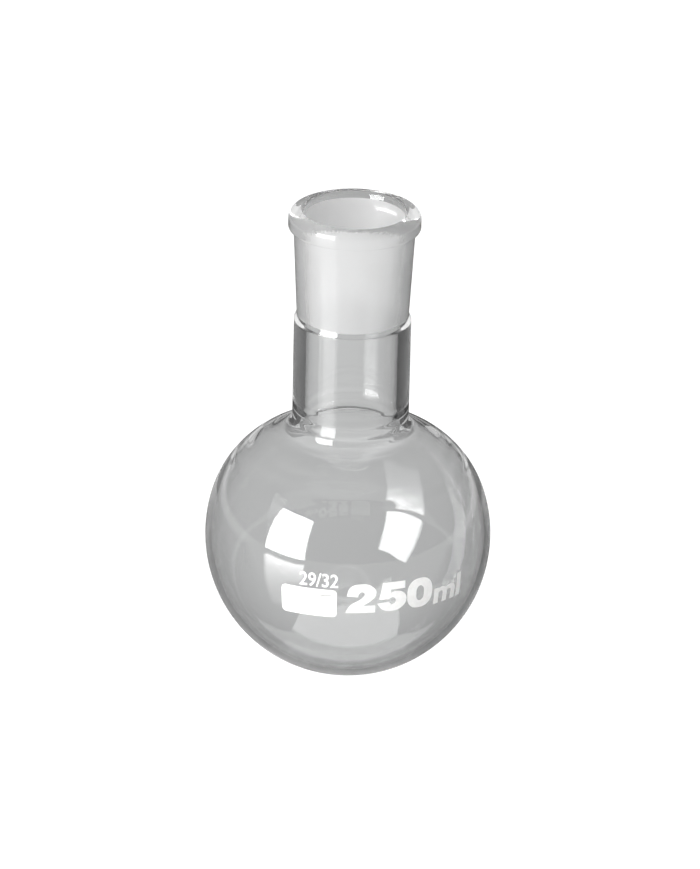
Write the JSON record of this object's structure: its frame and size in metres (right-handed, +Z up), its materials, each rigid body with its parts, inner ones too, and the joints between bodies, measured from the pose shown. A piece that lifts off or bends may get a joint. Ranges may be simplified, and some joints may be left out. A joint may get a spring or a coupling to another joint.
{
  "type": "round-bottom flask",
  "caption": "Clear glass round-bottom laboratory flask: a spherical bulb, a short tubular neck and a beaded conical ground socket.",
  "frame": {"origin": "lowest point of the bulb, on the flask's axis", "axes": "+Z up the flask's axis towards the mouth; the printed side of the bulb faces -Y, with +X to its right"},
  "size_m": [0.085, 0.085, 0.1457],
  "materials": {
    "clear_glass": "clear and polished, with the conical zone inside the socket ground matt white",
    "white_enamel": "thin white enamel print fired on the outside of the bulb"
  },
  "bodies": {
    "root": {"flask_body": "clear_glass"}
  },
  "joints": []
}
